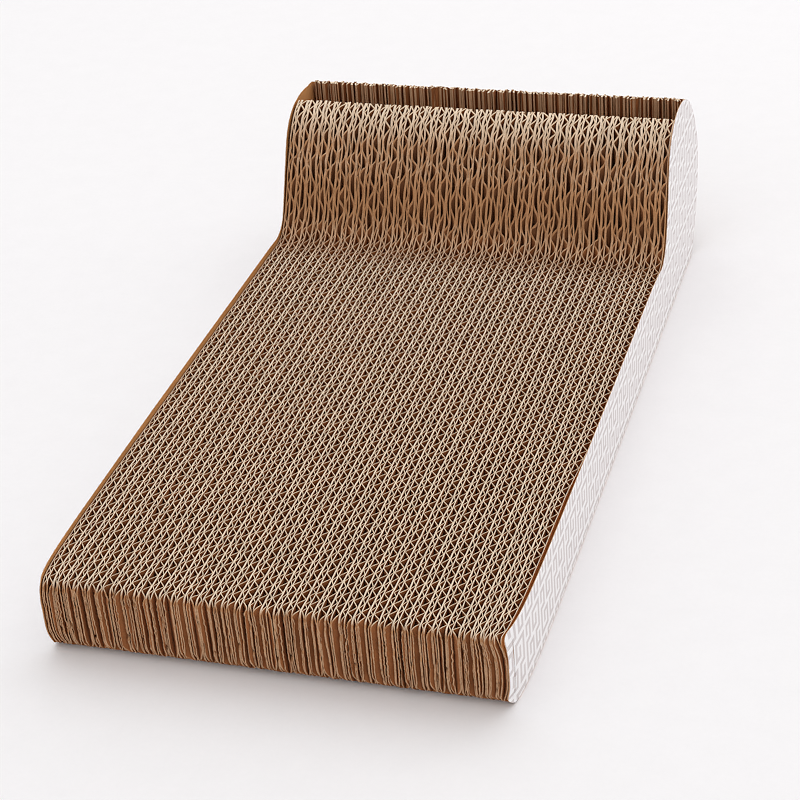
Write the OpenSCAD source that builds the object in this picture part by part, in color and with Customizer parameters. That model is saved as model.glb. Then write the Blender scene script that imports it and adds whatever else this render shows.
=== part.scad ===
// Cardboard cat scratcher: a flat scratching bed that rises into a rounded head, with an
// open trough behind the crest. Double-wall boards stand on edge side by side, glued face
// to face, and two thin covers with printed paper close the sides.
// X runs across the width, Y from the front end to the back of the head, Z up.
// The origin is on the floor under the middle of the whole.

/* [Overall] */
// Width across the printed paper of both side covers
width = 250; // [235:1:280]
// Length from the front end to the back of the head
length = 500; // [440:5:560]
// Height of the side covers at the top of the head
head_h = 120; // [108:1:136]
// Height of the side covers along the flat bed
cover_h = 46; // [38:1:54]
// How far the side covers stand above the scratching surface
proud = 3; // [1:0.5:5]

/* [Boards] */
// Number of double-wall boards across the width
board_count = 37; // [33:2:43]
// Thickness of the glue between two boards
glue_t = 0.3; // [0.1:0.05:0.5]
// Height of one glue stripe
glue_h = 5; // [3:0.5:7]
// Distance kept between the glue and the nearest edge of a board
glue_edge = 10; // [8:0.5:11]

/* [Side covers] */
// Thickness of the cover board
cover_t = 1.6; // [1.2:0.1:3]
// Thickness of the printed paper on the outside of a cover
paper_t = 0.25; // [0.15:0.05:0.5]
// How far the printed paper stops above the floor
paper_lift = 0.5; // [0.2:0.1:2]

/* [Front end] */
// Radius of the upper front corner
front_top_r = 5; // [3:0.5:10]
// Radius of the lower front corner
front_low_r = 12; // [6:0.5:18]

/* [Head] */
// Distance from the foot of the head to the back of it, at the height of the bed
head_len = 116; // [110:1:126]
// Slope of the head's front face, from the floor
face_angle = 66; // [62:1:72]
// Radius of the hollow where the bed turns up into the head
foot_r = 20; // [12:1:28]
// Radius of the crest
crest_r = 37; // [32:1:40]
// Level stretch on top, between the crest and the back curve
top_flat = 2; // [1:0.5:6]
// How far the back of the head is undercut at the floor
undercut = 25; // [16:1:32]

/* [Trough] */
// Width of the trough from front to back
trough_w = 29; // [24:1:32]
// Distance from the back wall of the trough to the back of the head
rear_wall = 38; // [34:1:42]
// Depth of the trough below the top of the boards
trough_depth = 45; // [35:1:50]
// Radius of the trough's two lower corners
trough_r = 6; // [3:0.5:10]

/* [Hidden] */
// Steps along each arc of the outlines
arc_steps = 10;
// How far a cut runs past the edge it opens
overrun = 10;

// The scratching surface lies below the edge of the covers.
bed_h = cover_h - proud;

// The boards share what the covers and the glue leave of the width.
stack_w = width - 2 * (cover_t + paper_t);
pitch = (stack_w - glue_t) / board_count;
board_t = pitch - glue_t;

// The head's front face rises from head_start, and the crest arc is tangent to it.
head_start = length - head_len;
crest_run = (head_h - crest_r - cover_h + crest_r * cos(face_angle)) / sin(face_angle);
crest_y = head_start + crest_run * cos(face_angle) + crest_r * sin(face_angle);
foot_y = head_start - foot_r * tan(face_angle / 2);

// The back is one quarter arc down to the rearmost point and a flatter arc to the floor.
back_y = crest_y + top_flat;
back_r = length - back_y;
back_z = head_h - back_r;
under_r = (undercut * undercut + back_z * back_z) / (2 * undercut);
under_y = length - under_r;

trough_back = length - rear_wall;
trough_front = trough_back - trough_w;
trough_floor = head_h - proud - trough_depth;

// Each glue stripe: where it starts and ends along the length, and how high it lies.
glue_low = [front_low_r + glue_edge, trough_back, glue_edge];
glue_bed = [front_low_r + glue_edge, trough_back, bed_h - glue_edge - glue_h];
glue_head = [head_start + 2 * glue_edge, trough_back + glue_edge, trough_floor - glue_edge - glue_h];
glue_mid_z = trough_floor + (trough_depth - glue_h) / 2;
glue_lip = [trough_front - 3 * glue_h, trough_front - glue_h, glue_mid_z];
glue_rear = [trough_back + glue_h, trough_back + 3 * glue_h, glue_mid_z];
glue_stripes = [glue_low, glue_bed, glue_head, glue_lip, glue_rear];

board_colour = "#b58f63";
cover_colour = "#b57c45";
paper_colour = "#e9e5e4";
glue_colour = "#efe9da";

function board_name(i) = str("board_", i < 10 ? "0" : "", i);

// Points along an arc about (cy, cz), from angle a0 to angle a1.
function arc(cy, cz, r, a0, a1) = [
    for (i = [0:arc_steps])
        let (a = a0 + (a1 - a0) * i / arc_steps)
        [cy + r * cos(a), cz + r * sin(a)]
];

// The side outline. The upper edge is lowered by drop all the way from the bed to the back.
function outline(drop) = concat(
    arc(front_low_r, front_low_r, front_low_r, 270, 180),
    arc(front_top_r, cover_h - drop - front_top_r, front_top_r, 180, 90),
    arc(foot_y, cover_h + foot_r, foot_r + drop, 270, 270 + face_angle),
    arc(crest_y, head_h - crest_r, crest_r - drop, 90 + face_angle, 90),
    arc(back_y, back_z, back_r - drop, 90, 0),
    arc(under_y, back_z, under_r - drop, 0, -asin(back_z / (under_r - drop)))
);

// A flat sheet of thickness t that stands on edge, with its left face at x.
module sheet(x, t) {
    translate([x, -length / 2, 0])
        rotate([90, 0, 90])
            linear_extrude(t)
                children();
}

module trough_cut() {
    top = head_h + overrun;
    polygon(concat(
        arc(trough_front + trough_r, trough_floor + trough_r, trough_r, 180, 270),
        arc(trough_back - trough_r, trough_floor + trough_r, trough_r, 270, 360),
        [[trough_back, top], [trough_front, top]]
    ));
}

// One double-wall board. All are cut to the same outline.
module board(i) {
    color(board_colour)
        sheet(glue_t + (i - 1) * pitch - stack_w / 2, board_t)
            difference() {
                polygon(outline(proud));
                trough_cut();
            }
}

module side_cover(x) {
    color(cover_colour)
        sheet(x, cover_t)
            polygon(outline(0));
}

module left_cover() {
    side_cover(-stack_w / 2 - cover_t);
}

module right_cover() {
    side_cover(stack_w / 2);
}

// The printed paper has the cover's outline and stops just above the floor.
module printed_paper(x) {
    color(paper_colour)
        sheet(x, paper_t)
            difference() {
                polygon(outline(0));
                translate([-overrun, -overrun])
                    square([length + 2 * overrun, overrun + paper_lift]);
            }
}

module left_printed_paper() {
    printed_paper(-stack_w / 2 - cover_t - paper_t);
}

module right_printed_paper() {
    printed_paper(stack_w / 2 + cover_t);
}

// Stripes of glue between each board and the next, and between the outer boards and the covers.
module glue_stripes() {
    color(glue_colour)
        for (i = [0:board_count], s = glue_stripes)
            translate([i * pitch - stack_w / 2, s[0] - length / 2, s[2]])
                cube([glue_t, s[1] - s[0], glue_h]);
}

for (i = [1:board_count])
    board(i);
left_cover();
right_cover();
left_printed_paper();
right_printed_paper();
glue_stripes();
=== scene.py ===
"""Cardboard cat scratcher: double-wall boards on edge between two printed side covers.

Every length below is in millimetres until a mesh is made. Along the length, y counts from the
front end. The outlines come from the frame, so the pieces follow the solids.
"""
import math

import bpy
import numpy as np
from bpy.props import FloatProperty, FloatVectorProperty, IntProperty, PointerProperty
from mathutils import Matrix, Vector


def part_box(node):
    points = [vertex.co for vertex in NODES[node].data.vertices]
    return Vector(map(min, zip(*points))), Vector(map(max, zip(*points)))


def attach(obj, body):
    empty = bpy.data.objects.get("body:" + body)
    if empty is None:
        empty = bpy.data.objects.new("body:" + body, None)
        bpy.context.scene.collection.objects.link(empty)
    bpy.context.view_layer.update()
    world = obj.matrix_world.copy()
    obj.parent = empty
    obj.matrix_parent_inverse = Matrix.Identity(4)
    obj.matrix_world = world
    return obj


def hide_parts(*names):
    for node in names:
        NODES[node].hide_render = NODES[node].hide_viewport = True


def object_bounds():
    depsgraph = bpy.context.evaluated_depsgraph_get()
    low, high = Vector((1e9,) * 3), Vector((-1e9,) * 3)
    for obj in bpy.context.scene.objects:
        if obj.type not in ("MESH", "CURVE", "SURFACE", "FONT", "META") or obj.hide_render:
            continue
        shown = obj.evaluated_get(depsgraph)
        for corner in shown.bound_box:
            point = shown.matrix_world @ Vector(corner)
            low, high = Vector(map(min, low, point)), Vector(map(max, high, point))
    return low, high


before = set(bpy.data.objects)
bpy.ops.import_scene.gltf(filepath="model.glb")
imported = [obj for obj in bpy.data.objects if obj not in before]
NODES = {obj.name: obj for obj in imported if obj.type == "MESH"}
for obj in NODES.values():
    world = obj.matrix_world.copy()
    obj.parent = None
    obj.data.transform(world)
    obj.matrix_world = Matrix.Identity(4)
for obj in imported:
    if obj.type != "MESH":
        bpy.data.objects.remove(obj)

bl_info = {
    "name": "Cardboard cat scratcher",
    "version": (1, 0, 0),
    "blender": (4, 5, 0),
    "location": "View3D > Sidebar > Scratcher",
    "description": "Builds a scratching bed of corrugated boards with a raised head and printed covers",
    "category": "Object",
}

CAD_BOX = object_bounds()
MM = 0.001
FRONT = CAD_BOX[0][1] / MM
BOARDS = sorted(name for name in NODES if name.startswith("board_"))
BODY = "root"

# The zone at the front where the paper is torn and bent, and its rows of faces from edge to edge.
TORN_ZONE = 7.0
TORN_ROWS = 36
# The zone at the trough's back wall where the sheets' upper ends lie back unevenly.
REAR_ZONE = 5

# Where the boards change along their length: the start of each change, and the length it takes.
HEAD_BEGINS = (374, 16)
HEAD_ENDS = (465, 32)
STEEP_BEGINS = (378, 8)
STEEP_ENDS = (404, 16)
# The boards' steep face stands out most at this place, by this much, over about this width.
FULLEST = 396
FULLNESS = 8.5
FULL_WIDTH = 11

# Cross-sections lie closer together at the front end and round the back of the head.
FRONT_STATIONS = (0.4, 1.0, 1.8, 2.8, 3.9, 5.2, TORN_ZONE)
HEAD_BACK = 470
BACK_RADIUS = 54
BACK_ANGLES = np.radians(np.arange(34, 0, -2.6))
BACK_TIP = 0.03

# The finishes of a board's faces and of a cover's faces, in the order of their materials.
LINER, FLUTING, LINER_EDGE, FLUTING_EDGE, COVER_FACE = range(5)
FACE, EDGE = range(2)

# The camera's place in metres and its turn in degrees, fitted to the photograph.
CAMERA_PLACE = (0.34574, -1.01981, 0.66843)
CAMERA_TURN = (58.5675, 4.2043, 16.5616)


def linear(text):
    """An sRGB hex colour as linear red, green and blue."""
    channels = [int(text[i:i + 2], 16) / 255 for i in (1, 3, 5)]
    return tuple(c / 12.92 if c <= 0.04045 else ((c + 0.055) / 1.055) ** 2.4 for c in channels)


def colour(name, description, text):
    """A colour property whose default is an sRGB hex colour."""
    return FloatVectorProperty(name=name, description=description, default=linear(text),
                               subtype="COLOR", min=0, max=1)


class ScratcherBoardSettings(bpy.types.PropertyGroup):
    """Sizes, in millimetres, and colours of the corrugated boards."""

    coarse_pitch: FloatProperty(name="Coarse flute pitch", description="Wave length in millimetres",
                                default=8.8, min=6, max=12)
    fine_pitch: FloatProperty(name="Fine flute pitch", description="Wave length in millimetres",
                              default=6.9, min=4, max=9)
    fine_share: FloatProperty(name="Fine layer", description="Its share of a board's thickness",
                              default=0.388, min=0.25, max=0.5, subtype="FACTOR")
    liner: FloatProperty(name="Outer liner", description="Thickness of an outer liner in millimetres",
                         default=0.34, min=0.2, max=0.8)
    middle: FloatProperty(name="Middle liner", description="Thickness of the middle liner in millimetres",
                          default=0.46, min=0.2, max=0.8)
    fluting: FloatProperty(name="Fluting", description="Thickness of a fluting paper in millimetres",
                           default=0.4, min=0.2, max=0.6)
    burr: FloatProperty(name="Burr", description="How much thicker the frayed edges on the head are",
                        default=0.95, min=0, max=2.5)
    wobble: FloatProperty(name="Wobble", description="How far the liners stray from a straight line",
                          default=0.22, min=0, max=0.5)
    edge: colour("Liner edge", "Level cut edges of the liners", "#f0ddc5")
    # The steep and front edge colours are browner than the level ones: partly the paper's own colour,
    # partly painted shade of faces turned away from the overhead light.
    steep_edge_with_shade: colour("Steep liner edge", "Cut edges of the liners on the steep faces", "#b98960")
    flute_edge: colour("Flute edge", "Level cut edges of the flutings", "#e8d1b3")
    steep_flute_edge_with_shade: colour("Steep flute edge", "Cut edges of flutings on the steep faces", "#ae7d55")
    front_edge_with_shade: colour("Front edge", "Cut edges that face forward", "#c29a77")
    # Painted shade: how much darker the papers are painted behind the head's steep face, where its
    # recesses lie in shade.
    head_painted_shade: FloatProperty(name="Darkening", description="How much darker the steep face's papers are",
                             default=0.5, min=0, max=0.7, subtype="FACTOR")
    wall: colour("Liner", "Face of the liner paper", "#a0663b")
    flute: colour("Fluting", "Face of the fluting paper", "#965d33")


class ScratcherCoverSettings(bpy.types.PropertyGroup):
    """Sizes, in millimetres, and colours of the side covers, their papers and the glue."""

    board: FloatProperty(name="Cover board", description="Thickness of the cover board in millimetres",
                         default=0.35, min=0.3, max=1.5)
    pinch: FloatProperty(name="Pinch", description="How far the covers' front ends are pressed in",
                         default=3.1, min=0, max=5)
    corner_pinch: FloatProperty(name="Corner pinch", description="How much further the corners are",
                                default=2.7, min=0, max=4)
    kraft: colour("Kraft", "Face of the cover board", "#ca8f57")
    kraft_edge: colour("Kraft edge", "Cut edge of the cover board", "#b88f6a")
    paper: colour("Paper", "White of the printed paper", "#f2efef")
    fret: colour("Fret", "Grey of the printed fret", "#d3cbca")
    glue: colour("Glue", "Dried white glue", "#efe6cf")
    fret_length: FloatProperty(name="Fret length", description="Length of one unit of the fret",
                               default=27.1, min=20, max=40)
    fret_height: FloatProperty(name="Fret height", description="Height of one unit of the fret",
                               default=30.1, min=20, max=40)


class ScratcherStageSettings(bpy.types.PropertyGroup):
    """Floor, light and camera."""

    lens: FloatProperty(name="Lens", description="Focal length", default=96.66, min=20, max=200,
                        subtype="DISTANCE_CAMERA", unit="CAMERA")
    softbox_power: FloatProperty(name="Softbox", description="Power of the overhead softbox", default=11,
                                 min=0, max=500, unit="POWER")
    side_power: FloatProperty(name="Side softbox", description="Power of the softbox on the right",
                              default=0.7, min=0, max=100, unit="POWER")
    sky: FloatProperty(name="Fill", description="Strength of the even white fill light", default=0.94,
                       min=0, max=2)
    floor: colour("Floor", "Pale floor", "#f1eff0")
    contrast: FloatProperty(name="Contrast", description="Steepness of the tone curve", default=1.02,
                            min=0.8, max=1.6)
    sharpening: FloatProperty(name="Sharpening", description="Share of the sharpening filter",
                              default=0.2, min=0, max=1, subtype="FACTOR")
    seed: IntProperty(name="Seed", description="Start of the random numbers", default=11, min=0)


class Outline:
    """The side outline of a plate of the frame, as straight pieces in y and z."""

    FLAT = 0.01  # a point this near the plate's left face lies on it
    UPRIGHT = 0.001  # a piece this short along y is upright
    TALL = 20  # an upright piece this high is a wall of the trough, or the front end
    MARGIN = 0.002  # the ends of a span are looked up this far inside it
    FAR = 1e9

    def __init__(self, name):
        mesh = NODES[name].data
        points = np.empty(len(mesh.vertices) * 3)
        mesh.vertices.foreach_get("co", points)
        points = points.reshape(-1, 3) / MM
        flat = points[:, 0] < points[:, 0].min() + self.FLAT
        key = {}
        place = np.empty(len(points), int)
        for i, (y, z) in enumerate(np.round(points[:, 1:], 3)):
            place[i] = key.setdefault((y, z), len(key))
        corners = np.array(list(key))
        corners[:, 0] -= FRONT
        uses = {}
        for face in mesh.polygons:
            if all(flat[v] for v in face.vertices):
                for a, b in face.edge_keys:
                    pair = tuple(sorted((place[a], place[b])))
                    uses[pair] = uses.get(pair, 0) + 1
        pieces = [pair for pair, count in uses.items() if count == 1 and pair[0] != pair[1]]
        ends = corners[np.array(pieces)]
        swap = ends[:, 0, 0] > ends[:, 1, 0]
        ends[swap] = ends[swap][:, ::-1]
        upright = ends[:, 1, 0] - ends[:, 0, 0] < self.UPRIGHT
        tall = abs(ends[:, 1, 1] - ends[:, 0, 1]) > self.TALL
        self.pieces = ends[~upright]
        self.start = corners[:, 0].min()
        self.end = corners[:, 0].max()
        walls = sorted({round(y, 2) for y in ends[upright & tall][:, 0, 0]})
        self.walls = [y for y in walls if y > self.start + self.FLAT]

    def spans(self):
        """The stretches of the length between the upright walls of the trough."""
        marks = [self.start] + self.walls + [self.end]
        return list(zip(marks[:-1], marks[1:]))

    def heights(self, y, span):
        """Lowest and highest z over each y, looked up inside the span."""
        y = np.clip(y, span[0] + self.MARGIN, span[1] - self.MARGIN)
        low = np.full(y.shape, self.FAR)
        high = np.full(y.shape, -self.FAR)
        for (y0, z0), (y1, z1) in self.pieces:
            inside = (y >= y0) & (y <= y1)
            z = z0 + (z1 - z0) * (y - y0) / (y1 - y0)
            low = np.where(inside, np.minimum(low, z), low)
            high = np.where(inside, np.maximum(high, z), high)
        return low, high


def ramp(value, change):
    """0 before a change and 1 after it, straight between. A change is its start and its length,
    which is negative where it runs downwards."""
    start, length = change
    return np.clip((value - start) / length, 0, 1)


def soft_ramp(value, change):
    """The same with soft ends."""
    share = ramp(value, change)
    return share * share * (3 - 2 * share)


def near_front(y, zone):
    """1 at the front end, 0 beyond the zone behind it."""
    return np.clip(1 - y / zone, 0, 1)


def on_head(y):
    """1 on the front and top of the head, 0 on the bed and at the rearmost point."""
    return soft_ramp(y, HEAD_BEGINS) * (1 - soft_ramp(y, HEAD_ENDS))


def steepness(y):
    """1 on the steep front face of the head, 0 on the bed and on the crest."""
    return soft_ramp(y, STEEP_BEGINS) * (1 - soft_ramp(y, STEEP_ENDS))


def fullness(y):
    """How much higher the boards' steep face stands than the frame's, between foot and crest."""
    return FULLNESS * np.exp(-((y - FULLEST) / FULL_WIDTH) ** 2)


class Waves:
    """A gentle seeded curve: the sum of a few sine waves of given lengths, about -1 to 1."""

    SPREAD = (0.8, 1.25)  # how much shorter or longer than given a wave may be
    SELDOM_TOGETHER = 0.7  # crests seldom meet, so the sum is raised to reach about 1

    def __init__(self, rng, lengths):
        self.lengths = [length * rng.uniform(*self.SPREAD) for length in lengths]
        self.phases = rng.uniform(0, 2 * math.pi, len(lengths))
        self.share = np.array(lengths, float) ** 0.5
        self.share /= self.share.sum() * self.SELDOM_TOGETHER

    def __call__(self, at):
        return sum(share * np.sin(2 * math.pi * at / length + phase)
                   for share, length, phase in zip(self.share, self.lengths, self.phases))


class Stack:
    """Where the joints between the boards run, with their wobble, lean and pinch."""

    LEFT_ROOM = 0.9  # what the first joint keeps from the left cover
    RIGHT_ROOM = 0.1  # what the last joint keeps from the right cover
    STRAIGHT = 98  # nearer the middle than this the boards are neither pressed nor leaning
    UPPER_CORNER = (30, 17)
    LOWER_CORNER = (18, -12)
    LOWER_SHARE = 0.9  # how much of the corners' pinch the lower corner has
    CORNER_REACH = 7  # how far back the corners' pinch reaches
    PINCH_REACH = 24  # how far back the pinch reaches
    HEAD_PINCH = 1.3  # how far the right side of the head is pressed in
    HEAD_PINCH_HEIGHT = (60, 50)
    RIGHT_LEAN = 0.5
    FRONT_LEAN = 2.2  # how much more the boards on the right lean at the front
    FRONT_LEAN_END = (115, 65)
    RIGHT_LEAN_HEIGHT = (24, 19)
    RIGHT_LEAN_CURVE = 1.6
    LEFT_LEAN = -0.8
    LEFT_LEAN_HEIGHT = (50, 25)
    HEAD_WOBBLE = 2.2
    FREE_JOINTS = (0, 2)  # the wobble grows over this many joints from each cover
    FRONT_BEND = 0.4

    def __init__(self, sizes, covers, seed):
        rng = np.random.default_rng(seed)
        boxes = [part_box(name) for name in BOARDS]
        left = np.array([box[0][0] for box in boxes]) / MM
        right = np.array([box[1][0] for box in boxes]) / MM
        half_glue = (left[1] - right[0]) / 2
        joints = np.append(left - half_glue, right[-1] + half_glue)
        self.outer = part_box("right_cover")[1][0] / MM
        self.inner = self.outer - covers.board
        self.gap = 0.04
        ends = (self.LEFT_ROOM - self.inner, self.inner - self.RIGHT_ROOM)
        self.joints = np.interp(joints, (joints[0], joints[-1]), ends)
        self.outer_boards = (self.STRAIGHT, self.inner - self.STRAIGHT)
        self.wobble = sizes.wobble
        self.pinch = covers.pinch
        self.corner_pinch = covers.corner_pinch
        self.top_waves = [Waves(rng, (110, 37, 13)) for _ in self.joints]
        self.low_waves = [Waves(rng, (140, 45)) for _ in self.joints]
        self.head_waves = [Waves(rng, (24, 10)) for _ in self.joints]
        self.front_waves = [Waves(rng, (80, 36)) for _ in self.joints]
        self.front_sizes = rng.uniform(0.0, self.FRONT_BEND, len(self.joints))

    def pressed(self, x, y, z):
        """How far the sides are pressed in: at the front end, most at its corners, and on the right
        side of the head."""
        upper = ramp(z, self.UPPER_CORNER) ** 2
        lower = ramp(z, self.LOWER_CORNER) ** 2
        corner = self.corner_pinch * (upper + self.LOWER_SHARE * lower) * np.exp(-y / self.CORNER_REACH)
        inwards = self.pinch * np.exp(-y / self.PINCH_REACH) + corner
        if x > 0:
            inwards = inwards + self.HEAD_PINCH * soft_ramp(z, self.HEAD_PINCH_HEIGHT)
        return -np.sign(x) * soft_ramp(abs(x), self.outer_boards) * inwards

    def lean(self, x, y, z):
        """How far the outer boards lean away from their covers, towards the middle."""
        if x > 0:
            along = self.RIGHT_LEAN + self.FRONT_LEAN * (1 - soft_ramp(y, self.FRONT_LEAN_END))
            upper = ramp(z, self.RIGHT_LEAN_HEIGHT) ** self.RIGHT_LEAN_CURVE
        else:
            along = self.LEFT_LEAN
            upper = soft_ramp(z, self.LEFT_LEAN_HEIGHT)
        return along * upper * soft_ramp(abs(x), self.outer_boards)

    def joint(self, j, y, z, t):
        """x of joint j at (y, z), where t runs from 0 at the lower edge to 1 at the upper."""
        x = self.joints[j]
        inside = soft_ramp(min(j, len(self.joints) - 1 - j), self.FREE_JOINTS)
        stray = t * self.top_waves[j](y) + (1 - t) * self.low_waves[j](y)
        stray = stray + self.HEAD_WOBBLE * on_head(y) * t * self.head_waves[j](y)
        bent = self.front_sizes[j] * self.front_waves[j](z) * near_front(y, TORN_ZONE) ** 2
        stray = self.wobble * stray + bent
        return x + inside * stray - self.lean(x, y, z) + self.pressed(x, y, z)


class Sheets:
    """Collects many thin upright sheets of paper into one mesh."""

    APART = 0.01  # columns further apart than this need faces between them
    SHARP = math.radians(58)  # edges that turn more than this are shaded sharp

    def __init__(self):
        self.points = []
        self.quads = []
        self.quad_finish = []
        self.long_faces = []
        self.long_finish = []
        self.count = 0

    def add(self, blocks, wall, edge):
        """Each block is (left points, right points) as columns by rows by x, y, z."""
        previous = None
        for left, right in blocks:
            columns, rows = left.shape[:2]
            ids = self.count + np.arange(columns * rows * 2).reshape(2, columns, rows)
            self.points += [left.reshape(-1, 3), right.reshape(-1, 3)]
            self.count += columns * rows * 2
            a, b = ids
            self.quad((a[:-1, :-1], a[:-1, 1:], a[1:, 1:], a[1:, :-1]), wall)
            self.quad((b[:-1, :-1], b[1:, :-1], b[1:, 1:], b[:-1, 1:]), wall)
            self.quad((a[:-1, -1], b[:-1, -1], b[1:, -1], a[1:, -1]), edge)
            self.quad((a[:-1, 0], a[1:, 0], b[1:, 0], b[:-1, 0]), edge)
            if previous is None:
                self.quad((a[0, :-1], b[0, :-1], b[0, 1:], a[0, 1:]), edge)
            else:
                self.join(previous, (a[0], b[0], left[0, 0, 1]), wall, edge)
            previous = (a[-1], b[-1], left[-1, 0, 1])
        self.quad((a[-1, :-1], a[-1, 1:], b[-1, 1:], b[-1, :-1]), edge)

    def join(self, last, first, wall, edge):
        """The faces between the last column of a block and the first of the next."""
        la, ra, ya = last
        lb, rb, yb = first
        if abs(yb - ya) > self.APART:
            for around in ((*la, *lb[::-1]), (*rb, *ra[::-1])):
                self.long_faces.append([int(v) for v in around])
                self.long_finish.append(wall)
            self.quad((la[:1], lb[:1], rb[:1], ra[:1]), edge)
        self.quad((la[-1:], ra[-1:], rb[-1:], lb[-1:]), edge)

    def quad(self, corners, finish):
        """Faces of four corners, given as four equal arrays of points, all in one finish."""
        faces = np.stack([corner.reshape(-1) for corner in corners], axis=1)
        self.quads.append(faces)
        self.quad_finish.append(np.full(len(faces), finish))

    def piece(self, name, materials):
        """The finished mesh as an object, in metres in the frame."""
        points = np.vstack(self.points)
        points[:, 1] += FRONT
        quads = np.vstack(self.quads)
        sizes = np.array([4] * len(quads) + [len(face) for face in self.long_faces])
        corners = np.append(quads.reshape(-1), [v for face in self.long_faces for v in face])
        finish = np.append(np.concatenate(self.quad_finish), self.long_finish)
        mesh = bpy.data.meshes.new(name)
        mesh.vertices.add(len(points))
        mesh.vertices.foreach_set("co", (points * MM).reshape(-1))
        mesh.loops.add(len(corners))
        mesh.loops.foreach_set("vertex_index", corners.astype(np.int32))
        mesh.polygons.add(len(sizes))
        mesh.polygons.foreach_set("loop_start", (np.cumsum(sizes) - sizes).astype(np.int32))
        for material in materials:
            mesh.materials.append(material)
        mesh.polygons.foreach_set("material_index", finish.astype(np.int32))
        mesh.update(calc_edges=True)
        mesh.validate()
        mesh.shade_smooth()
        mesh.set_sharp_from_angle(angle=self.SHARP)
        piece = bpy.data.objects.new(name, mesh)
        bpy.context.scene.collection.objects.link(piece)
        return piece


def stations(span, step):
    """Places for cross-sections along a span: on whole steps, but not too near its ends, and
    closer together at the round front and back."""
    room = 0.4
    end_room = 0.35
    start, end = span
    along = [start]
    if start < TORN_ZONE:
        along += FRONT_STATIONS
    first = math.ceil(along[-1] / step + room)
    along += [step * i for i in range(first, int(end / step + 1 - room))]
    along = [y for y in along if y < end - end_room * step]
    if end > HEAD_BACK:
        close = end - BACK_RADIUS * (1 - np.cos(BACK_ANGLES))
        along = [y for y in along if y < close[0]] + list(close)
        along.append(end - BACK_TIP)
    else:
        along.append(end)
    return np.array(along)


class Edges:
    """How the edges of a sheet differ from its outline. Plain edges do not differ at all."""

    def front(self, z):
        """How far the front end lies back."""
        return 0 * z

    def top(self, y):
        """How much higher the upper edge stands."""
        return 0 * y

    def under(self, y):
        """How much higher the lower edge stands."""
        return 0 * y

    def rear(self):
        """How far the upper end at the trough's back wall lies back."""
        return 0


def upright_sheet(outline, span, y, centre, thickness, edges, rows_after):
    """Blocks of one sheet: centre(y, z, t) gives its middle, thickness(y, t) its thickness."""
    ahead = 0.05
    least_height = 0.02
    low, high = outline.heights(y, span)
    slope = (centre(y + ahead, high, 1) - centre(y - ahead, high, 1)) / (2 * ahead)
    across = 1 / np.sqrt(1 + slope * slope)
    torn = int((y < TORN_ZONE - ahead).sum()) if span[0] < TORN_ZONE else 0
    blocks = []
    for first, last, rows in ((0, torn, TORN_ROWS), (torn, len(y), rows_after)):
        if last <= first:
            continue
        part = slice(first, last)
        along = y[part, None]
        t = np.linspace(0, 1, rows + 1)[None, :]
        pair = []
        for side in (-1, 1):
            half = side * thickness(along, t) / 2 * across[part, None]
            place = np.clip(along - half * slope[part, None], span[0], span[1])
            low, high = outline.heights(place[:, -1], span)
            low = low + edges.under(place[:, -1])
            high = high + edges.top(place[:, -1])
            z = low[:, None] + t * np.maximum(high - low, least_height)[:, None]
            x = centre(along, z, t) + half
            place = place + edges.front(z) * near_front(along, TORN_ZONE)
            if span[0] in outline.walls[1:]:
                place = place + edges.rear() * t * near_front(along - span[0], REAR_ZONE)
            pair.append(np.stack([x, place, z], axis=2))
        blocks.append(tuple(pair))
    return blocks


def chain(outline, centre, thickness, step, edges, rows_after=1):
    """One sheet over the whole length, through the trough."""
    blocks = []
    for span in outline.spans():
        y = stations(span, step)
        blocks += upright_sheet(outline, span, y, centre, thickness, edges, rows_after)
    return blocks


def wave(turn, flat):
    """The section of a flute: a sine wave with straighter flanks, or where flat is 1 flatter tops."""
    straighter = 0.07
    flatter = 0.19
    third = flatter * flat - straighter
    return (np.sin(turn) + third * np.sin(3 * turn)) / (1 - third)


class TornEdges(Edges):
    """Edges of a sawn sheet: torn at the front end, rough on the steep face of the head."""

    ROUGH = 0.13  # size of the long waves of the front end
    FINE = 0.12  # size of its short waves
    NICK_WIDTH = 1.6
    BACK_RANGE = (0.02, 3.4)  # how far back the front end may lie
    BEHIND = 3.4  # how much higher the boards stand behind the trough
    BEHIND_END = (0, 34)
    LIP = 1.6  # how much less of that the edge of the trough's back wall has
    LIP_END = (0, 3)
    UNEVEN = 0.14  # how uneven the upper edge is
    TORN = 0.6  # how much more on the steep face
    TIPS = 0.3  # how much more from here on, counted from the trough's back wall
    TIPS_BEGIN = -20
    AT_WALL = -0.01  # the back wall itself counts as behind the trough
    BENEATH = 0.08  # how uneven the lower edge is

    def __init__(self, board, rng):
        self.back = rng.uniform(0, 1.4)
        self.rough = Waves(rng, (23, 9))
        self.fine = Waves(rng, (3.9, 2.7))
        self.nicks = rng.uniform(5, 40, 2)
        self.depth = rng.uniform(0, 1.1, 2)
        self.height = rng.normal(0, 0.16)
        self.uneven = Waves(rng, (41, 11, 3.7))
        self.torn = Waves(rng, (4.6, 3.1, 2.3))
        self.lift = rng.uniform(0, 0.12)
        self.beneath = Waves(rng, (90, 26, 8))
        self.trough_back = board.outline.walls[-1]
        self.set_back = rng.uniform(0, 1) ** 2 * 4

    def front(self, z):
        worn = self.back + self.ROUGH * (1 + self.rough(z)) + self.FINE * (1 + self.fine(z))
        for centre, deep in zip(self.nicks, self.depth):
            worn = worn + deep * np.exp(-((z - centre) / self.NICK_WIDTH) ** 2)
        return np.clip(worn, *self.BACK_RANGE)

    def top(self, y):
        past = y - self.trough_back
        behind = self.BEHIND * (1 - soft_ramp(past, self.BEHIND_END))
        behind = behind - self.LIP * (1 - soft_ramp(past, self.LIP_END))
        rough = self.height + self.UNEVEN * self.uneven(y) + self.TORN * steepness(y) * self.torn(y)
        tips = self.TIPS * self.torn(y + 0.7) * (past > self.TIPS_BEGIN)
        return fullness(y) + rough + tips + behind * (past > self.AT_WALL)

    def rear(self):
        return self.set_back

    def under(self, y):
        return self.lift + self.BENEATH * np.clip(1 + self.beneath(y), 0, 2)


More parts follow.
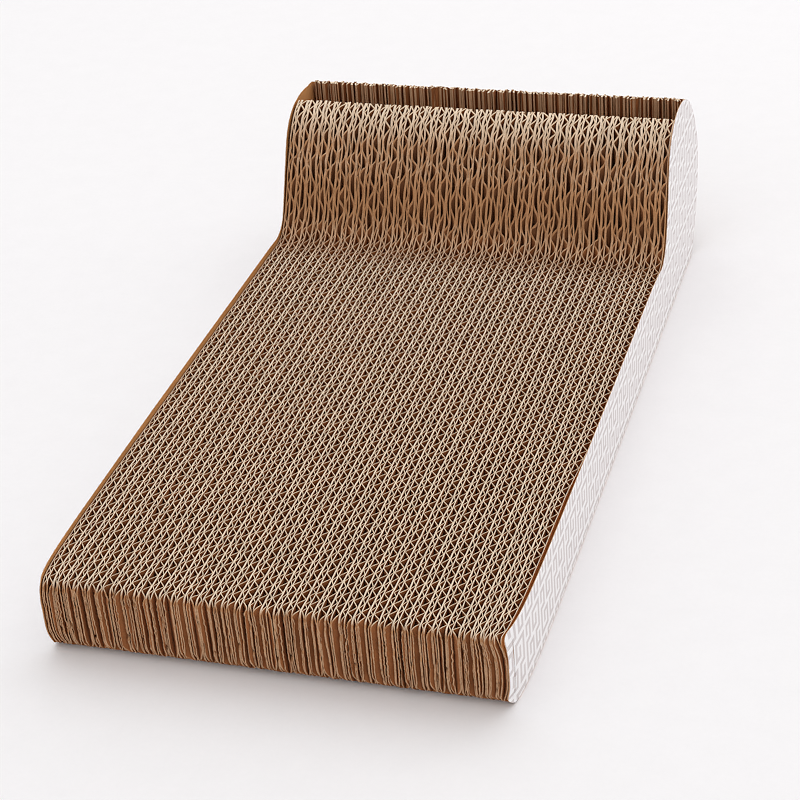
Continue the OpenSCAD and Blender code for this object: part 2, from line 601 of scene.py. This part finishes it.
class Board:
    """One double-wall board: liner, fine fluting, liner, coarse fluting, liner."""

    FRAYED = 0.3  # how much of the burr the front ends have
    FRAYED_ZONE = 4
    RAGGED_ZONE = 2
    STEP = 1.6  # between two cross-sections of a liner
    FINE_STEPS = 8  # cross-sections to a wave
    COARSE_STEPS = 10
    SWAY = (0.02, 0.035)  # the middle liner's sway in boards: everywhere, and more on the head
    CRUSH = (0.25, 0.2, 0.7)  # unevenness of the waves: everywhere, more on the head, on its face
    FINE_DRIFT = 0.9  # how far the waves drift along the board
    COARSE_DRIFT = 1.1
    CLEARANCE = 0.15  # how much of the burr the flutings leave free
    LEAST_REACH = 0.1
    FLUTE_BEND = 0.5  # the flutings bend this much less at the front than the liners

    def __init__(self, stack, outline, number, sizes, seed):
        self.stack = stack
        self.outline = outline
        self.number = number
        self.sizes = sizes
        rng = np.random.default_rng(seed * 1000 + number)
        self.rng = rng
        self.seed = seed
        self.fine_phase = rng.uniform(0, 2 * math.pi)
        self.coarse_phase = rng.uniform(0, 2 * math.pi)
        self.fine_drift = Waves(rng, (170, 60))
        self.coarse_drift = Waves(rng, (190, 70))
        self.fine_crush = Waves(rng, (23, 11))
        self.coarse_crush = Waves(rng, (27, 13))
        self.middle_wave = Waves(rng, (60, 21, 12))
        self.bends = [Waves(rng, (90, 45)) for _ in range(5)]
        self.bend_size = rng.uniform(0.0, 0.28, 5)
        self.jags = [Waves(rng, (5.5, 3.4, 2.4)) for _ in range(5)]
        self.jag_size = 0.3 * rng.uniform(0, 1, 5) ** 3

    def bent(self, which, y, z):
        """Sideways bend of a sheet's torn front end, with its ragged tip."""
        bend = self.bend_size[which] * self.bends[which](z) * near_front(y, TORN_ZONE) ** 2
        return bend + self.ragged(which, y, z)

    def ragged(self, which, y, z):
        """The ragged tip of a sheet's torn front end."""
        return self.jag_size[which] * self.jags[which](z) * near_front(y, self.RAGGED_ZONE)

    def thick(self, paper):
        """Thickness of a paper along its length: it is frayed wider on the head and at the front."""
        def thickness(y, t):
            at_front = self.FRAYED * near_front(y, self.FRAYED_ZONE)
            return paper * (1 + self.sizes.burr * np.maximum(on_head(y) * t, at_front))
        return thickness

    def outer(self, side, y, z, t):
        """Middle of an outer liner. Its ragged tip only bends towards its own board."""
        j = self.number if side < 0 else self.number + 1
        inset = (self.stack.gap + self.thick(self.sizes.liner)(y, t)) / 2
        tip = abs(self.ragged(0 if side < 0 else 1, y, z))
        return self.stack.joint(j, y, z, t) - side * (inset + tip)

    def middle(self, y, z, t):
        """Middle of the inner liner."""
        left = self.outer(-1, y, z, t)
        right = self.outer(1, y, z, t)
        sway = self.SWAY[0] + self.SWAY[1] * on_head(y)
        share = self.sizes.fine_share + sway * self.middle_wave(y)
        return left + share * (right - left) + self.bent(2, y, z)

    def flute(self, coarse, y, z, t):
        """Middle of a fluting, which swings from one liner to the next."""
        crush = self.CRUSH[0] + self.CRUSH[1] * on_head(y) + self.CRUSH[2] * steepness(y)
        if coarse:
            left = self.middle(y, z, t)
            right = self.outer(1, y, z, t)
            drift = self.COARSE_DRIFT * self.coarse_drift(y) + crush * self.coarse_crush(y)
            turn = 2 * math.pi * (y + drift) / self.sizes.coarse_pitch + self.coarse_phase
        else:
            left = self.outer(-1, y, z, t)
            right = self.middle(y, z, t)
            drift = self.FINE_DRIFT * self.fine_drift(y) + crush * self.fine_crush(y)
            turn = 2 * math.pi * (y + drift) / self.sizes.fine_pitch + self.fine_phase
        papers = (self.sizes.liner + self.sizes.middle) / 2 + self.sizes.fluting
        papers = papers * (1 + self.CLEARANCE * self.sizes.burr * on_head(y))
        reach = np.maximum(right - left - papers, self.LEAST_REACH) / 2
        bend = self.FLUTE_BEND * self.bent(4 if coarse else 3, y, z)
        return (left + right) / 2 + reach * wave(turn, steepness(y)) + bend

    def sheets(self):
        """All five sheets. The last liner of the stack shows the covers' browner kraft, which is lighter
        than its own: painted light for the strip of it lit in the gap by the right cover.
        """
        built = Sheets()
        # Painted light: the last liner is given the covers' lighter kraft so that its strip in the gap by
        # the right cover shows bright.
        last_face_painted_light = COVER_FACE if self.number == len(BOARDS) - 1 else LINER
        liners = (
            (lambda y, z, t: self.outer(-1, y, z, t), self.sizes.liner, LINER),
            (self.middle, self.sizes.middle, LINER),
            (lambda y, z, t: self.outer(1, y, z, t), self.sizes.liner, last_face_painted_light),
        )
        for k, (centre, paper, face) in enumerate(liners):
            # The two outer liners that meet at a joint share its seed, so they are torn alike.
            rng = self.rng if k == 1 else np.random.default_rng(self.seed + self.number + k // 2)
            edges = TornEdges(self, rng)
            built.add(chain(self.outline, centre, self.thick(paper), self.STEP, edges), face, LINER_EDGE)
        for coarse in (False, True):
            pitch = self.sizes.coarse_pitch if coarse else self.sizes.fine_pitch
            steps = self.COARSE_STEPS if coarse else self.FINE_STEPS
            sheet = chain(self.outline, lambda y, z, t: self.flute(coarse, y, z, t),
                          self.thick(self.sizes.fluting), pitch / steps, TornEdges(self, self.rng))
            built.add(sheet, FLUTING, FLUTING_EDGE)
        return built


# A colour mix's inputs share their names with those for numbers, so they go by number: the factor
# and the two colours, and the output with the mixed colour.
FACTOR, COLOUR_A, COLOUR_B = 0, 6, 7
MIXED = 2

# How often each pattern of the papers repeats in a metre: clouds every 17 mm, patches on the sawn
# edges every 8 mm, their grit every 1.1 mm, blotches of ink every 2 mm, and the white paper's grain
# every 0.7 mm. A fibre is about 0.03 mm wide, too fine to show, so fibres, grit and grain are drawn
# coarser than they are.
CLOUDS = 60.0
PATCHES = 120.0
GRIT = 900.0
BLOTCHES = 500.0
GRAIN = 1500.0

# Painted shade in the head's recesses: behind the steep face the papers are painted darker between these
# heights, and this ends behind the crest.
PAINTED_SHADE_HEIGHTS = (44, 56)
PAINTED_SHADE_ENDS = (412, 436)
# Painted shadow of the head on its foot: the level edges are painted browner between these places at the
# foot of the head, down to this share of their paleness, and pale again between these heights up to the
# crest.
FOOT_SHADOW = (352, 378)
FOOT_SHADOW_PALENESS = 0.4
CREST_HEIGHTS = (62, 100)
# How far up an edge's normal points where its colour turns from front to steep, and from steep to level.
# The browner front and steep colours are partly the paper's own and partly painted shade of faces turned
# from the overhead light.
STEEP_NORMAL = (0.05, 0.28)
LEVEL_NORMAL = (0.42, 1.02)


def node(tree, kind, wires=None, **settings):
    """Adds one node. wires gives its inputs, by name or number, a value or a link, and settings
    are the node's own values."""
    new = tree.nodes.new(kind)
    for name, value in settings.items():
        setattr(new, name, value)
    for name, value in (wires or {}).items():
        if isinstance(value, bpy.types.NodeSocket):
            tree.links.new(value, new.inputs[name])
        else:
            new.inputs[name].default_value = value
    return new


def start_material(name):
    """An empty material with its shader, and the object's own coordinates in metres."""
    material = bpy.data.materials.new(name)
    material.use_nodes = True
    tree = material.node_tree
    shader = tree.nodes["Principled BSDF"]
    place = node(tree, "ShaderNodeTexCoord").outputs["Object"]
    return material, tree, shader, place


def rgba(value, times=1):
    """A colour property with full alpha, darker or lighter by a factor."""
    return (value[0] * times, value[1] * times, value[2] * times, 1)


def kraft_liner():
    """Kraft liner paper, machine-calendered: warm brown, matt, with long fibres."""
    sizes = bpy.context.scene.scratcher_boards
    return plain_paper("kraft_liner_paper", sizes.wall, 0.16, 0.9, 0.05, 0.82, sizes.head_painted_shade)


def recycled_fluting():
    """Recycled fluting paper, formed hot on rolls: duller and greyer than the liners."""
    sizes = bpy.context.scene.scratcher_boards
    return plain_paper("recycled_fluting_paper", sizes.flute, 0.18, 1.2, 0.06, 0.88, sizes.head_painted_shade)


def plain_paper(name, base, spread, fibre_mm, depth_mm, roughness, head_painted_shade=0.0):
    """Uncoated paper: cloudy tone over centimetres and fine fibres that run up the sheet. The last
    argument is painted shade: how much darker the paper is painted behind the head's steep face, where
    its recesses lie in shade."""
    material, tree, shader, place = start_material(name)
    clouds = node(tree, "ShaderNodeTexNoise", {"Vector": place, "Scale": CLOUDS, "Detail": 3.0})
    along = node(tree, "ShaderNodeVectorMath", {0: place, 1: (1.0, 1.0, 0.22)}, operation="MULTIPLY")
    fibres = node(tree, "ShaderNodeTexNoise", {"Vector": along.outputs[0], "Scale": 1000 / fibre_mm,
                                               "Detail": 4.0, "Roughness": 0.65})
    tone = node(tree, "ShaderNodeMath", {0: clouds.outputs["Fac"], 1: fibres.outputs["Fac"]},
                operation="ADD")
    toned = node(tree, "ShaderNodeMapRange", {"Value": tone.outputs[0], "From Min": 0.7,
                                              "From Max": 1.3})
    shade = node(tree, "ShaderNodeMix", {FACTOR: toned.outputs[0], COLOUR_A: rgba(base, 1 - spread),
                                         COLOUR_B: rgba(base, 1 + spread)},
                 data_type="RGBA").outputs[MIXED]
    # Painted shade: above the bed and up to behind the crest, the paper is painted darker for the shade
    # in the head's recesses.
    if head_painted_shade:
        split = node(tree, "ShaderNodeSeparateXYZ", {0: place})
        head = node(tree, "ShaderNodeMapRange", {"Value": split.outputs["Z"],
                                                 "From Min": PAINTED_SHADE_HEIGHTS[0] * MM,
                                                 "From Max": PAINTED_SHADE_HEIGHTS[1] * MM})
        kept = node(tree, "ShaderNodeMapRange", {"Value": split.outputs["Y"],
                                                 "From Min": (FRONT + PAINTED_SHADE_ENDS[0]) * MM,
                                                 "From Max": (FRONT + PAINTED_SHADE_ENDS[1]) * MM,
                                                 "To Min": head_painted_shade, "To Max": 0.0})
        painted_shade_share = node(tree, "ShaderNodeMath", {0: head.outputs[0], 1: kept.outputs[0]},
                    operation="MULTIPLY")
        left = node(tree, "ShaderNodeMath", {0: 1.0, 1: painted_shade_share.outputs[0]}, operation="SUBTRACT")
        shade = node(tree, "ShaderNodeVectorMath", {0: shade, "Scale": left.outputs[0]},
                     operation="SCALE").outputs[0]
    bump = node(tree, "ShaderNodeBump", {"Height": fibres.outputs["Fac"], "Distance": depth_mm * MM,
                                         "Strength": 0.6})
    tree.links.new(shade, shader.inputs["Base Color"])
    tree.links.new(bump.outputs[0], shader.inputs["Normal"])
    shader.inputs["Roughness"].default_value = roughness
    shader.inputs["IOR"].default_value = 1.45
    return material


def liner_edge():
    """Sawn edge of a liner: loose fibres catch the light, so it is pale and dull."""
    sizes = bpy.context.scene.scratcher_boards
    return sawn_edge("sawn_liner_edge", sizes.edge, sizes.steep_edge_with_shade)


def fluting_edge():
    """Sawn edge of a fluting: as dull as the liners' edges, but of darker recycled fibre."""
    sizes = bpy.context.scene.scratcher_boards
    return sawn_edge("sawn_fluting_edge", sizes.flute_edge, sizes.steep_flute_edge_with_shade)


def sawn_edge(name, level_colour, steep_colour_with_shade):
    """Sawn paper, fuzzy and matt: pale where it is level, and browner where it faces forward, at the foot
    of the head, and most of all on the steep faces. The browner forward and steep faces are partly the
    paper's own colour and partly painted shade of faces turned from the overhead light, and the browner
    foot is painted shadow of the head."""
    sizes = bpy.context.scene.scratcher_boards
    material, tree, shader, place = start_material(name)
    grit = node(tree, "ShaderNodeTexNoise", {"Vector": place, "Scale": GRIT, "Detail": 5.0,
                                             "Roughness": 0.7})
    patch = node(tree, "ShaderNodeTexNoise", {"Vector": place, "Scale": PATCHES, "Detail": 2.0})
    normal = node(tree, "ShaderNodeNewGeometry").outputs["Normal"]
    upward = node(tree, "ShaderNodeSeparateXYZ", {0: normal}).outputs["Z"]
    split = node(tree, "ShaderNodeSeparateXYZ", {0: place})
    # Painted shadow: the head's shadow over its foot, painted as browner level edges.
    foot = node(tree, "ShaderNodeMapRange", {"Value": split.outputs["Y"],
                                             "From Min": (FRONT + FOOT_SHADOW[0]) * MM,
                                             "From Max": (FRONT + FOOT_SHADOW[1]) * MM,
                                             "To Min": 1.0, "To Max": FOOT_SHADOW_PALENESS})
    crest = node(tree, "ShaderNodeMapRange", {"Value": split.outputs["Z"],
                                              "From Min": CREST_HEIGHTS[0] * MM,
                                              "From Max": CREST_HEIGHTS[1] * MM})
    pale = node(tree, "ShaderNodeMath", {0: foot.outputs[0], 1: crest.outputs[0]}, operation="MAXIMUM")
    # Painted shade by the edge's normal: level edges pale, front and steep ones browner.
    level = node(tree, "ShaderNodeMapRange", {"Value": upward, "From Min": LEVEL_NORMAL[0],
                                              "From Max": LEVEL_NORMAL[1], "To Max": pale.outputs[0]})
    steep = node(tree, "ShaderNodeMapRange", {"Value": upward, "From Min": STEEP_NORMAL[0],
                                              "From Max": STEEP_NORMAL[1]})
    base = node(tree, "ShaderNodeMix", {FACTOR: steep.outputs[0], COLOUR_A: rgba(sizes.front_edge_with_shade),
                                        COLOUR_B: rgba(steep_colour_with_shade)}, data_type="RGBA")
    base = node(tree, "ShaderNodeMix", {FACTOR: level.outputs[0], COLOUR_A: base.outputs[MIXED],
                                        COLOUR_B: rgba(level_colour)}, data_type="RGBA")
    tone = node(tree, "ShaderNodeMath", {0: grit.outputs["Fac"], 1: patch.outputs["Fac"]},
                operation="ADD")
    worn = node(tree, "ShaderNodeMapRange", {"Value": tone.outputs[0], "From Min": 0.7,
                                             "From Max": 1.35, "To Min": 0.78, "To Max": 1.08})
    shade = node(tree, "ShaderNodeVectorMath", {0: base.outputs[MIXED], "Scale": worn.outputs[0]},
                 operation="SCALE")
    bump = node(tree, "ShaderNodeBump", {"Height": grit.outputs["Fac"], "Distance": 0.15 * MM,
                                         "Strength": 0.8})
    tree.links.new(shade.outputs[0], shader.inputs["Base Color"])
    tree.links.new(bump.outputs[0], shader.inputs["Normal"])
    shader.inputs["Roughness"].default_value = 0.95
    shader.inputs["IOR"].default_value = 1.4
    return material


# One unit of the fret, a traditional key pattern: a stroke from corner to corner, as columns and
# rows of a grid. The same stroke after half a turn makes the other half.
FRET_PATH = ((1, 3), (1, 1), (3, 1), (3, 5), (1, 5), (1, 11), (5, 11), (5, 7), (3, 7), (3, 9))
FRET_COLUMNS = 10
FRET_ROWS = 12
# Where the middles of the first column and of the first row lie.
FRET_START = 50.5
FRET_TOP = 35.8


def fret_rows():
    """The fret as one number per row, whose binary digits say which columns are grey."""
    cells = set()
    for (c0, r0), (c1, r1) in zip(FRET_PATH[:-1], FRET_PATH[1:]):
        for c in range(min(c0, c1), max(c0, c1) + 1):
            for r in range(min(r0, r1), max(r0, r1) + 1):
                cells.add((c, r))
                cells.add((FRET_COLUMNS - c, FRET_ROWS - r))
    return [sum(2 ** c for c, row in cells if row == r) for r in range(FRET_ROWS)]


def printed_paper():
    """Offset-printed white paper, uncoated: matt and slightly fibrous, its grey ink a little uneven.
    A colour ramp turns the row into that row's number, and the column picks one of its digits."""
    covers = bpy.context.scene.scratcher_covers
    material, tree, shader, place = start_material("offset_printed_paper")
    maths = "ShaderNodeMath"
    split = node(tree, "ShaderNodeSeparateXYZ", {0: place})
    cell_y = covers.fret_length / FRET_COLUMNS
    cell_z = covers.fret_height / FRET_ROWS
    first_y = (FRONT + FRET_START - cell_y / 2) * MM
    first_z = (FRET_TOP + cell_z / 2) * MM
    column = node(tree, maths, {0: split.outputs["Y"], 1: first_y}, operation="SUBTRACT")
    column = node(tree, maths, {0: column.outputs[0], 1: cell_y * MM}, operation="DIVIDE")
    column = node(tree, maths, {0: column.outputs[0]}, operation="FLOOR")
    column = node(tree, maths, {0: column.outputs[0], 1: FRET_COLUMNS}, operation="FLOORED_MODULO")
    row = node(tree, maths, {0: first_z, 1: split.outputs["Z"]}, operation="SUBTRACT")
    row = node(tree, maths, {0: row.outputs[0], 1: cell_z * MM}, operation="DIVIDE")
    row = node(tree, maths, {0: row.outputs[0], 1: FRET_ROWS}, operation="FLOORED_MODULO")
    row = node(tree, maths, {0: row.outputs[0], 1: FRET_ROWS}, operation="DIVIDE")
    numbers = node(tree, "ShaderNodeValToRGB", {0: row.outputs[0]})
    stops = numbers.color_ramp.elements
    numbers.color_ramp.interpolation = "CONSTANT"
    full = 2.0 ** FRET_COLUMNS
    for r, digits in enumerate(fret_rows()):
        stop = stops[0] if r == 0 else stops.new(r / FRET_ROWS)
        stop.position = r / FRET_ROWS
        stop.color = (digits / full, digits / full, digits / full, 1)
    stops.remove(stops[-1])
    part = node(tree, maths, {0: numbers.outputs[0], 1: full}, operation="MULTIPLY")
    after = node(tree, maths, {0: column.outputs[0], 1: 1.0}, operation="ADD")
    power = node(tree, maths, {0: 2.0, 1: after.outputs[0]}, operation="POWER")
    part = node(tree, maths, {0: part.outputs[0], 1: power.outputs[0]}, operation="DIVIDE")
    # The digit is the first one after the point. A hair is added against rounding.
    part = node(tree, maths, {0: part.outputs[0], 1: 0.0001}, operation="ADD")
    part = node(tree, maths, {0: part.outputs[0]}, operation="FRACT")
    grey = node(tree, maths, {0: part.outputs[0], 1: 0.4999}, operation="GREATER_THAN")
    blotch = node(tree, "ShaderNodeTexNoise", {"Vector": place, "Scale": BLOTCHES, "Detail": 3.0})
    ink = node(tree, maths, {0: blotch.outputs["Fac"], 1: 0.3}, operation="MULTIPLY")
    ink = node(tree, maths, {0: ink.outputs[0], 1: 0.8}, operation="ADD")
    ink = node(tree, maths, {0: grey.outputs[0], 1: ink.outputs[0]}, operation="MULTIPLY")
    shade = node(tree, "ShaderNodeMix", {FACTOR: ink.outputs[0], COLOUR_A: rgba(covers.paper),
                                         COLOUR_B: rgba(covers.fret)}, data_type="RGBA")
    grain = node(tree, "ShaderNodeTexNoise", {"Vector": place, "Scale": GRAIN, "Detail": 4.0})
    bump = node(tree, "ShaderNodeBump", {"Height": grain.outputs["Fac"], "Distance": 0.04 * MM,
                                         "Strength": 0.4})
    tree.links.new(shade.outputs[MIXED], shader.inputs["Base Color"])
    tree.links.new(bump.outputs[0], shader.inputs["Normal"])
    shader.inputs["Roughness"].default_value = 0.6
    shader.inputs["IOR"].default_value = 1.5
    return material


def white_glue():
    """White glue, rolled on and dried: cream and slightly shiny."""
    covers = bpy.context.scene.scratcher_covers
    return plain_paper("dried_white_glue", covers.glue, 0.08, 2.5, 0.08, 0.45)


MADE = {}


def made_once(maker):
    """The maker's material, which is made the first time only."""
    if maker.__name__ not in MADE:
        MADE[maker.__name__] = maker()
    return MADE[maker.__name__]


def cover_kraft():
    """Kraft cover board, rolled smooth: brown, a little redder than the boards inside."""
    covers = bpy.context.scene.scratcher_covers
    return plain_paper("cover_kraft_paper", covers.kraft, 0.12, 1.1, 0.04, 0.78)


def cover_edge():
    """Die-cut edge of the cover board: pressed through, so it is even, dull and less brown."""
    covers = bpy.context.scene.scratcher_covers
    return plain_paper("die_cut_cover_edge", covers.kraft_edge, 0.2, 0.5, 0.1, 0.9)


def finish_piece(piece, node_name):
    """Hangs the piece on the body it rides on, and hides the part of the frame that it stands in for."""
    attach(piece, BODY)
    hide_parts(node_name)


class SCRATCHER_OT_boards(bpy.types.Operator):
    """Corrugated boards"""

    bl_idname = "scratcher.boards"
    bl_label = "Corrugated boards"

    def execute(self, context):
        scene = context.scene
        sizes = scene.scratcher_boards
        seed = scene.scratcher_stage.seed
        stack = Stack(sizes, scene.scratcher_covers, seed)
        makers = (kraft_liner, recycled_fluting, liner_edge, fluting_edge, cover_kraft)
        papers = [made_once(maker) for maker in makers]
        for number, name in enumerate(BOARDS):
            board = Board(stack, Outline(name), number, sizes, seed)
            piece = board.sheets().piece("corrugated_" + name, papers)
            finish_piece(piece, name)
        return {"FINISHED"}


class CoverEdges(Edges):
    """The upper edge of a cover, lower by these depths at these places along it."""

    def __init__(self, places, depths):
        self.places = places
        self.depths = depths

    def top(self, y):
        return -np.interp(y, self.places, self.depths)


# The left cover stands less proud at the front, and is worn down to the boards at the crest.
LEFT_EDGES = CoverEdges((0, 90, 160, 360, 390, 420, 435, 455, 465, 500),
                        (1.2, 0.8, 0, 0, 1.0, 2.5, 3.6, 3.0, 0.5, 0))
# The right cover is cut a little lower at the foot of the head.
RIGHT_EDGES = CoverEdges((0, 345, 364, 377, 388, 402, 500), (0, 0, 1.2, 3.2, 2.6, 0, 0))
SIDE_STEP = 3
SIDE_ROWS = 10


def side_sheet(stack, name, middle, thickness, finishes):
    """A thin sheet on one side of the stack, pressed in with it. middle is its x elsewhere."""
    edges = LEFT_EDGES if middle < 0 else RIGHT_EDGES
    built = Sheets()
    blocks = chain(Outline(name), lambda y, z, t: middle + stack.pressed(middle, y, z),
                   lambda y, t: thickness + 0 * y * t, SIDE_STEP, edges, SIDE_ROWS)
    built.add(blocks, *finishes)
    return built


class SCRATCHER_OT_covers(bpy.types.Operator):
    """Side covers of thin kraft board"""

    bl_idname = "scratcher.covers"
    bl_label = "Side covers"

    def execute(self, context):
        scene = context.scene
        covers = scene.scratcher_covers
        stack = Stack(scene.scratcher_boards, covers, scene.scratcher_stage.seed)
        papers = [made_once(cover_kraft), made_once(cover_edge)]
        for side, name in ((-1, "left_cover"), (1, "right_cover")):
            middle = (stack.inner + stack.outer) / 2 * side
            built = side_sheet(stack, name, middle, covers.board, (FACE, EDGE))
            finish_piece(built.piece(name + "_board", papers), name)
        return {"FINISHED"}


class SCRATCHER_OT_papers(bpy.types.Operator):
    """Printed papers on the covers"""

    bl_idname = "scratcher.papers"
    bl_label = "Printed papers"

    def execute(self, context):
        scene = context.scene
        stack = Stack(scene.scratcher_boards, scene.scratcher_covers, scene.scratcher_stage.seed)
        for name in ("left_printed_paper", "right_printed_paper"):
            low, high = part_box(name)
            middle = (low[0] + high[0]) / 2 / MM
            thickness = (high[0] - low[0]) / MM
            built = side_sheet(stack, name, middle, thickness, (FACE, FACE))
            piece = built.piece(name.replace("printed_", ""), [made_once(printed_paper)])
            finish_piece(piece, name)
        return {"FINISHED"}


def glue_boxes():
    """Lowest and highest corner of each glue stripe of the frame, in millimetres."""
    mesh = NODES["glue_stripes"].data
    parent = list(range(len(mesh.vertices)))

    def root(v):
        while parent[v] != v:
            parent[v] = parent[parent[v]]
            v = parent[v]
        return v

    seen = {}
    for vertex in mesh.vertices:
        key = tuple(round(c, 7) for c in vertex.co)
        parent[root(vertex.index)] = root(seen.setdefault(key, vertex.index))
    for edge in mesh.edges:
        parent[root(edge.vertices[0])] = root(edge.vertices[1])
    groups = {}
    for vertex in mesh.vertices:
        groups.setdefault(root(vertex.index), []).append(vertex.co)
    boxes = []
    for points in groups.values():
        points = np.array(points) / MM
        points[:, 1] -= FRONT
        boxes.append((points.min(0), points.max(0)))
    return boxes


class SCRATCHER_OT_glue(bpy.types.Operator):
    """Stripes of glue between the boards"""

    bl_idname = "scratcher.glue"
    bl_label = "Glue beads"

    STEP = 9  # between two cross-sections of a stripe
    UNEVEN = 0.5  # how uneven its long edges are
    OTHER_EDGE = 90  # how far along the same curve the upper edge is read
    BED_HEIGHT = 43

    def execute(self, context):
        scene = context.scene
        stack = Stack(scene.scratcher_boards, scene.scratcher_covers, scene.scratcher_stage.seed)
        rng = np.random.default_rng(scene.scratcher_stage.seed + 5)
        last = len(stack.joints) - 1
        built = Sheets()
        for low, high in glue_boxes():
            j = int(abs(stack.joints - (low[0] + high[0]) / 2).argmin())
            edge = Waves(rng, (31, 12))
            y = np.linspace(low[1], high[1], max(int((high[1] - low[1]) / self.STEP), 3))
            lower = low[2] + self.UNEVEN + self.UNEVEN * edge(y)
            upper = high[2] - self.UNEVEN + self.UNEVEN * edge(y + self.OTHER_EDGE)
            z = np.stack([lower, upper], axis=1)
            place = y[:, None] + 0 * z
            x = stack.joint(j, place, z, np.clip(z / self.BED_HEIGHT, 0, 1))
            left = x - stack.gap / 2
            right = x + stack.gap / 2
            if j == 0:
                left = -stack.inner + stack.pressed(-stack.inner, place, z)
            if j == last:
                right = stack.inner + stack.pressed(stack.inner, place, z)
            sides = [np.stack([side, place, z], axis=2) for side in (left, right)]
            built.add([tuple(sides)], FACE, FACE)
        piece = built.piece("glue_beads", [made_once(white_glue)])
        finish_piece(piece, "glue_stripes")
        return {"FINISHED"}


def softbox(name, width, height, power, place, turn):
    """A large soft lamp. Its sizes and place are in metres, and its turn is in degrees."""
    light = bpy.data.lights.new(name, "AREA")
    light.shape = "RECTANGLE"
    light.size = width
    light.size_y = height
    light.energy = power
    lamp = bpy.data.objects.new(name, light)
    lamp.location = place
    lamp.rotation_euler = [math.radians(angle) for angle in turn]
    bpy.context.scene.collection.objects.link(lamp)


class SCRATCHER_OT_stage(bpy.types.Operator):
    """Floor, light and camera"""

    bl_idname = "scratcher.stage"
    bl_label = "Floor, light and camera"

    REACH = 4.0  # half the floor's width in metres
    GAMMA = 2.2  # the picture is sharpened in steps that look even to the eye

    def execute(self, context):
        scene = context.scene
        stage = scene.scratcher_stage
        mesh = bpy.data.meshes.new("studio_floor")
        corners = [(x * self.REACH, y * self.REACH, 0) for x, y in ((-1, -1), (1, -1), (1, 1), (-1, 1))]
        mesh.from_pydata(corners, [], [(0, 1, 2, 3)])
        mesh.materials.append(studio_floor())
        floor = bpy.data.objects.new("studio_floor", mesh)
        scene.collection.objects.link(floor)

        softbox("overhead_softbox", 2.6, 2.2, stage.softbox_power, (0.2, 1.0, 2.2), (-24, 5, 0))
        softbox("side_softbox", 0.8, 0.8, stage.side_power, (1.15, 0.95, 0.75), (64, 0, 126))

        world = bpy.data.worlds.new("white_studio")
        world.use_nodes = True
        background = world.node_tree.nodes["Background"]
        background.inputs["Color"].default_value = (1, 1, 1, 1)
        background.inputs["Strength"].default_value = stage.sky
        scene.world = world
        scene.view_settings.view_transform = "Standard"
        scene.view_settings.gamma = 1 / stage.contrast
        scene.use_nodes = True
        finish = scene.node_tree
        finish.nodes.clear()
        raw = node(finish, "CompositorNodeRLayers").outputs["Image"]
        shown = node(finish, "CompositorNodeGamma", {"Image": raw, "Gamma": 1 / self.GAMMA})
        sharp = node(finish, "CompositorNodeFilter", {"Fac": stage.sharpening, "Image": shown.outputs[0]},
                     filter_type="SHARPEN_DIAMOND")
        back = node(finish, "CompositorNodeGamma", {"Image": sharp.outputs[0], "Gamma": self.GAMMA})
        node(finish, "CompositorNodeComposite", {"Image": back.outputs[0]})

        camera = bpy.data.cameras.new("photo_camera")
        camera.lens = stage.lens
        camera.sensor_width = 36
        camera.clip_end = 50
        holder = bpy.data.objects.new("photo_camera", camera)
        holder.location = CAMERA_PLACE
        holder.rotation_euler = [math.radians(angle) for angle in CAMERA_TURN]
        scene.collection.objects.link(holder)
        scene.camera = holder
        return {"FINISHED"}


def studio_floor():
    """Board painted matt white: nearly even, with a faint cloudiness."""
    stage = bpy.context.scene.scratcher_stage
    return plain_paper("matt_white_board", stage.floor, 0.01, 3.0, 0.02, 0.7)


class SCRATCHER_PT_panel(bpy.types.Panel):
    """Shows the scratcher's settings and the buttons that build its pieces"""

    bl_label = "Scratcher"
    bl_idname = "SCRATCHER_PT_panel"
    bl_space_type = "VIEW_3D"
    bl_region_type = "UI"
    bl_category = "Scratcher"

    def draw(self, context):
        scene = context.scene
        for group in (scene.scratcher_boards, scene.scratcher_covers, scene.scratcher_stage):
            box = self.layout.box()
            for name in group.bl_rna.properties.keys():
                if name not in {"rna_type", "name"}:
                    box.prop(group, name)
        for operator in OPERATORS:
            self.layout.operator(operator.bl_idname)


GROUPS = {
    "scratcher_boards": ScratcherBoardSettings,
    "scratcher_covers": ScratcherCoverSettings,
    "scratcher_stage": ScratcherStageSettings,
}
OPERATORS = (SCRATCHER_OT_stage, SCRATCHER_OT_boards, SCRATCHER_OT_covers, SCRATCHER_OT_papers,
             SCRATCHER_OT_glue)


def register():
    for name, group in GROUPS.items():
        bpy.utils.register_class(group)
        setattr(bpy.types.Scene, name, PointerProperty(type=group))
    for operator in OPERATORS:
        bpy.utils.register_class(operator)
    bpy.utils.register_class(SCRATCHER_PT_panel)


def unregister():
    bpy.utils.unregister_class(SCRATCHER_PT_panel)
    for operator in reversed(OPERATORS):
        bpy.utils.unregister_class(operator)
    for name, group in GROUPS.items():
        delattr(bpy.types.Scene, name)
        bpy.utils.unregister_class(group)


def main():
    register()
    bpy.ops.scratcher.stage()
    bpy.ops.scratcher.boards()
    bpy.ops.scratcher.covers()
    bpy.ops.scratcher.papers()
    bpy.ops.scratcher.glue()


if __name__ == "__main__":
    main()
